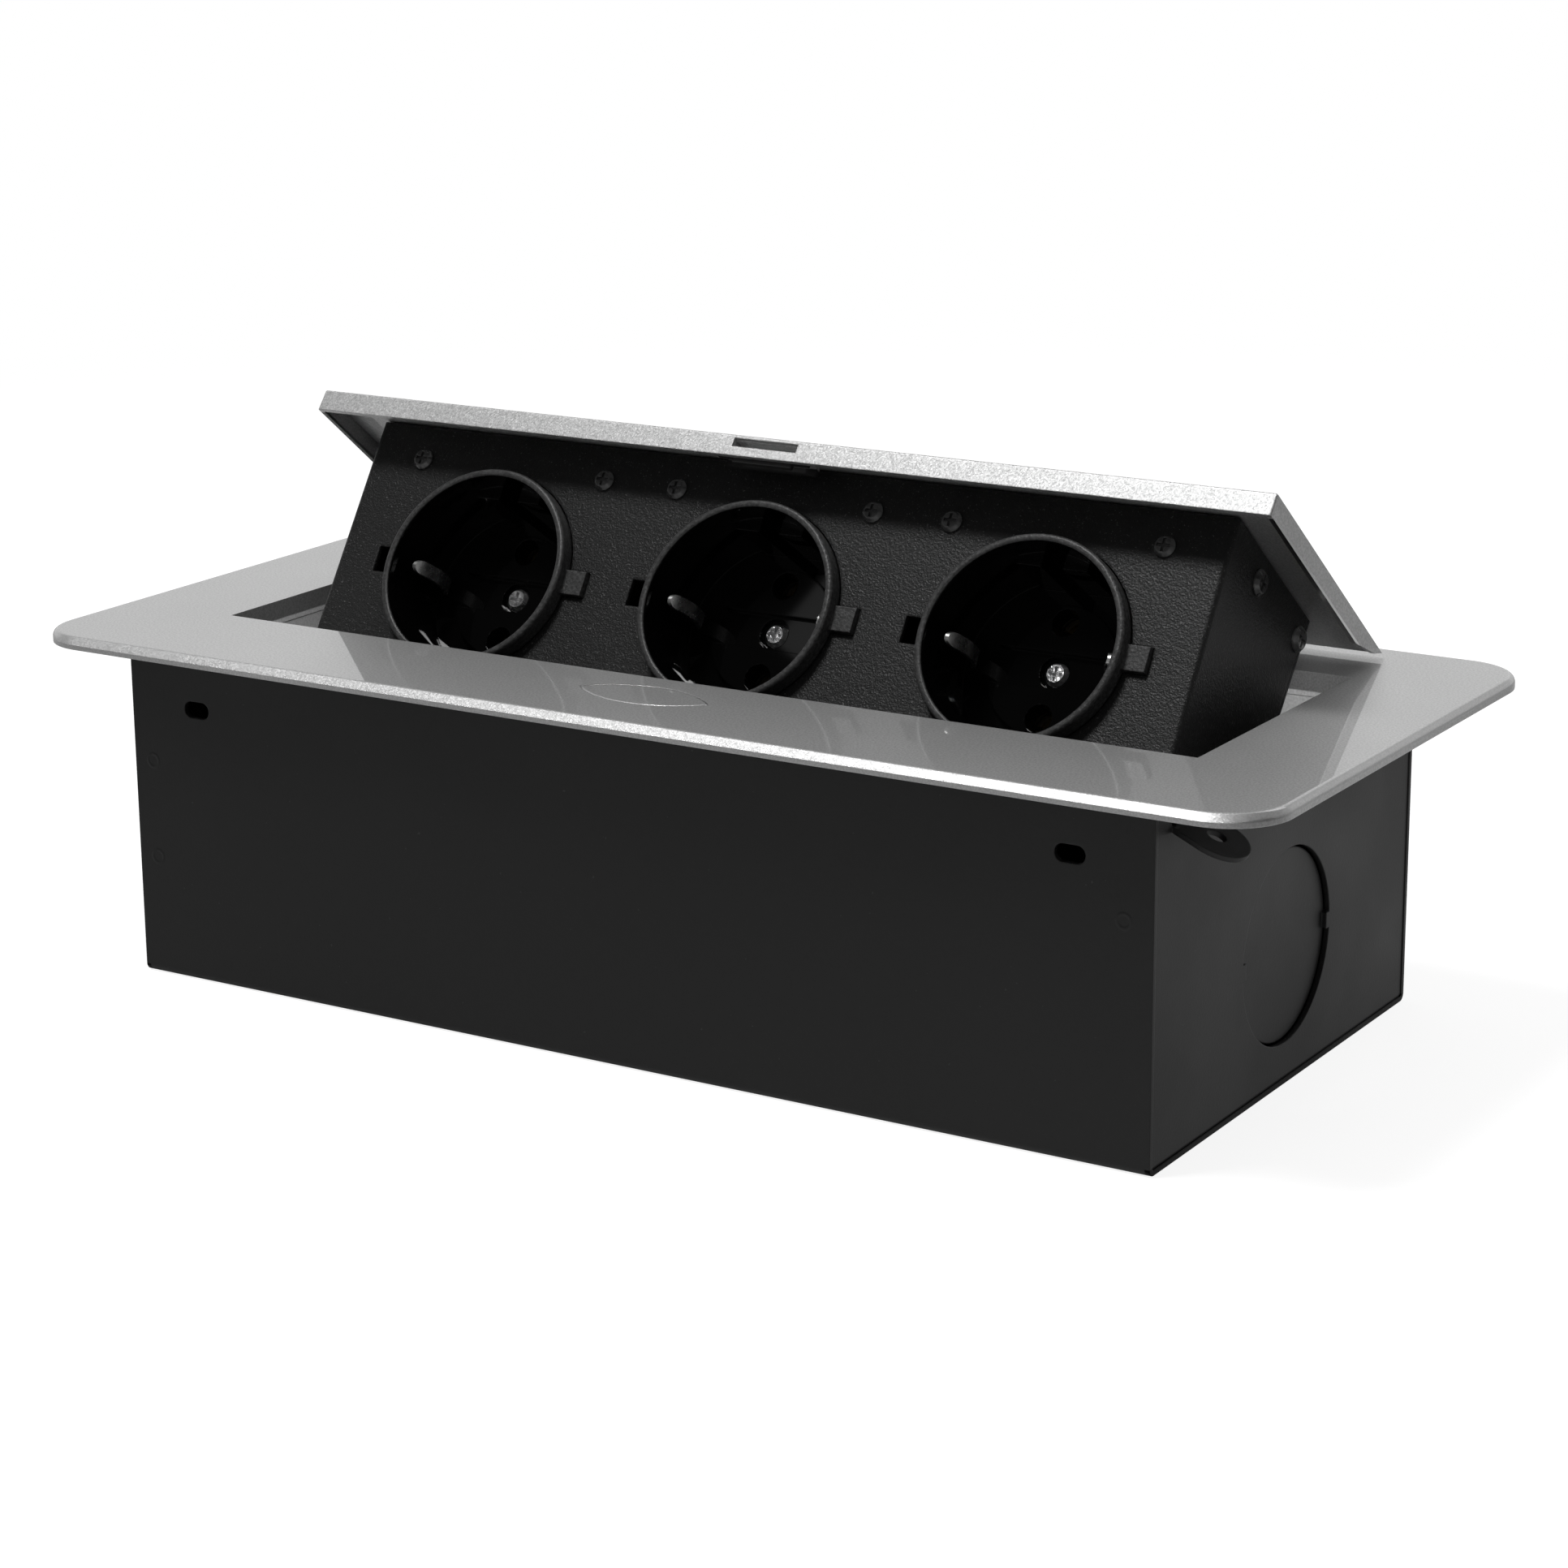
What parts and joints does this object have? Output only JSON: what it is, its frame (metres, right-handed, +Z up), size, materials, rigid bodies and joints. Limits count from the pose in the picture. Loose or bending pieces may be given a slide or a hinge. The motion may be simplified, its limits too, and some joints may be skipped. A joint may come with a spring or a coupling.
{
  "type": "in-desk power module",
  "caption": "Tilt-up in-desk power module: silver frame plate over a black steel housing, with a sprung lid that lifts a row of earthed sockets when its button is pressed.",
  "frame": {"origin": "middle of the frame plate, on the seat that lies on the desk top", "axes": "+X along the length, +Y away from the release button, +Z up out of the desk"},
  "size_m": [0.266, 0.12, 0.1084],
  "materials": {
    "silver_paint": "glossy silver paint with metal flake",
    "black_sheet": "satin black powder coat",
    "black_wrinkle": "fine wrinkle black powder coat",
    "zinc_steel": "bright zinc",
    "spring_steel": "plain spring steel",
    "black_screw": "black oxide, slightly oily",
    "socket_moulding": "gloss black well, finely eroded rim",
    "black_moulding": "matt black moulding",
    "terminal_moulding": "pale grey moulding",
    "grommet_rubber": "soft matt rubber",
    "nickel_clip": "nickel-plated spring strip",
    "brass": "plain brass"
  },
  "bodies": {
    "housing": {"frame": "silver_paint", "frame_nuts": "zinc_steel", "housing_body": "black_sheet", "end_wall_left": "black_sheet", "end_wall_right": "black_sheet", "latch_guide": "black_moulding", "guide_screws": "zinc_steel", "button_spring": "spring_steel", "hinge_bracket_left": "zinc_steel", "hinge_bracket_right": "zinc_steel", "hinge_pin_left": "zinc_steel", "hinge_pin_right": "zinc_steel", "torsion_spring_left": "spring_steel", "torsion_spring_right": "spring_steel"},
    "socket_lid": {"arm_screws": "black_screw", "cable_grommet": "grommet_rubber", "carrier_shell": "black_wrinkle", "centre_screw_1": "zinc_steel", "centre_screw_2": "zinc_steel", "centre_screw_3": "zinc_steel", "cover_screws": "black_screw", "earth_bus": "brass", "earth_clip_1": "nickel_clip", "earth_clip_2": "nickel_clip", "earth_clip_3": "nickel_clip", "face_screws": "black_screw", "hinge_arm_left": "zinc_steel", "hinge_arm_right": "zinc_steel", "lid": "silver_paint", "lid_bracket_left": "zinc_steel", "lid_bracket_right": "zinc_steel", "lid_catch": "silver_paint", "live_bus": "brass", "live_contact_1": "brass", "live_contact_2": "brass", "live_contact_3": "brass", "neutral_bus": "brass", "neutral_contact_1": "brass", "neutral_contact_2": "brass", "neutral_contact_3": "brass", "rear_cover": "black_wrinkle", "side_screws": "black_screw", "socket_base_1": "black_moulding", "socket_base_2": "black_moulding", "socket_base_3": "black_moulding", "socket_cup_1": "socket_moulding", "socket_cup_2": "socket_moulding", "socket_cup_3": "socket_moulding", "terminal_block": "terminal_moulding", "terminal_screws": "zinc_steel"},
    "button": {"release_button": "silver_paint"},
    "latch": {"latch_slider": "black_moulding"}
  },
  "joints": [
    {"name": "lid_tilt", "type": "hinge", "parent": "housing", "child": "socket_lid", "pos_m": [0, 0.0447, -0.0216], "axis": [1, 0, 0], "range_deg": [0, 38.7], "stiffness_Nm_per_rad": 0.5, "springref_deg": -85.94},
    {"name": "button_press", "type": "slide", "parent": "housing", "child": "button", "axis": [0, 0, -1], "range_m": [0, 0.002], "stiffness_N_per_m": 400, "springref_m": -0.002, "deforming": ["button_spring"]},
    {"name": "latch_slide", "type": "slide", "parent": "housing", "child": "latch", "axis": [0, -1, 0], "range_m": [0, 0.002]}
  ],
  "couplings": [
    {"joint": "latch_slide", "follows": "button_press", "ratio": 1}
  ]
}
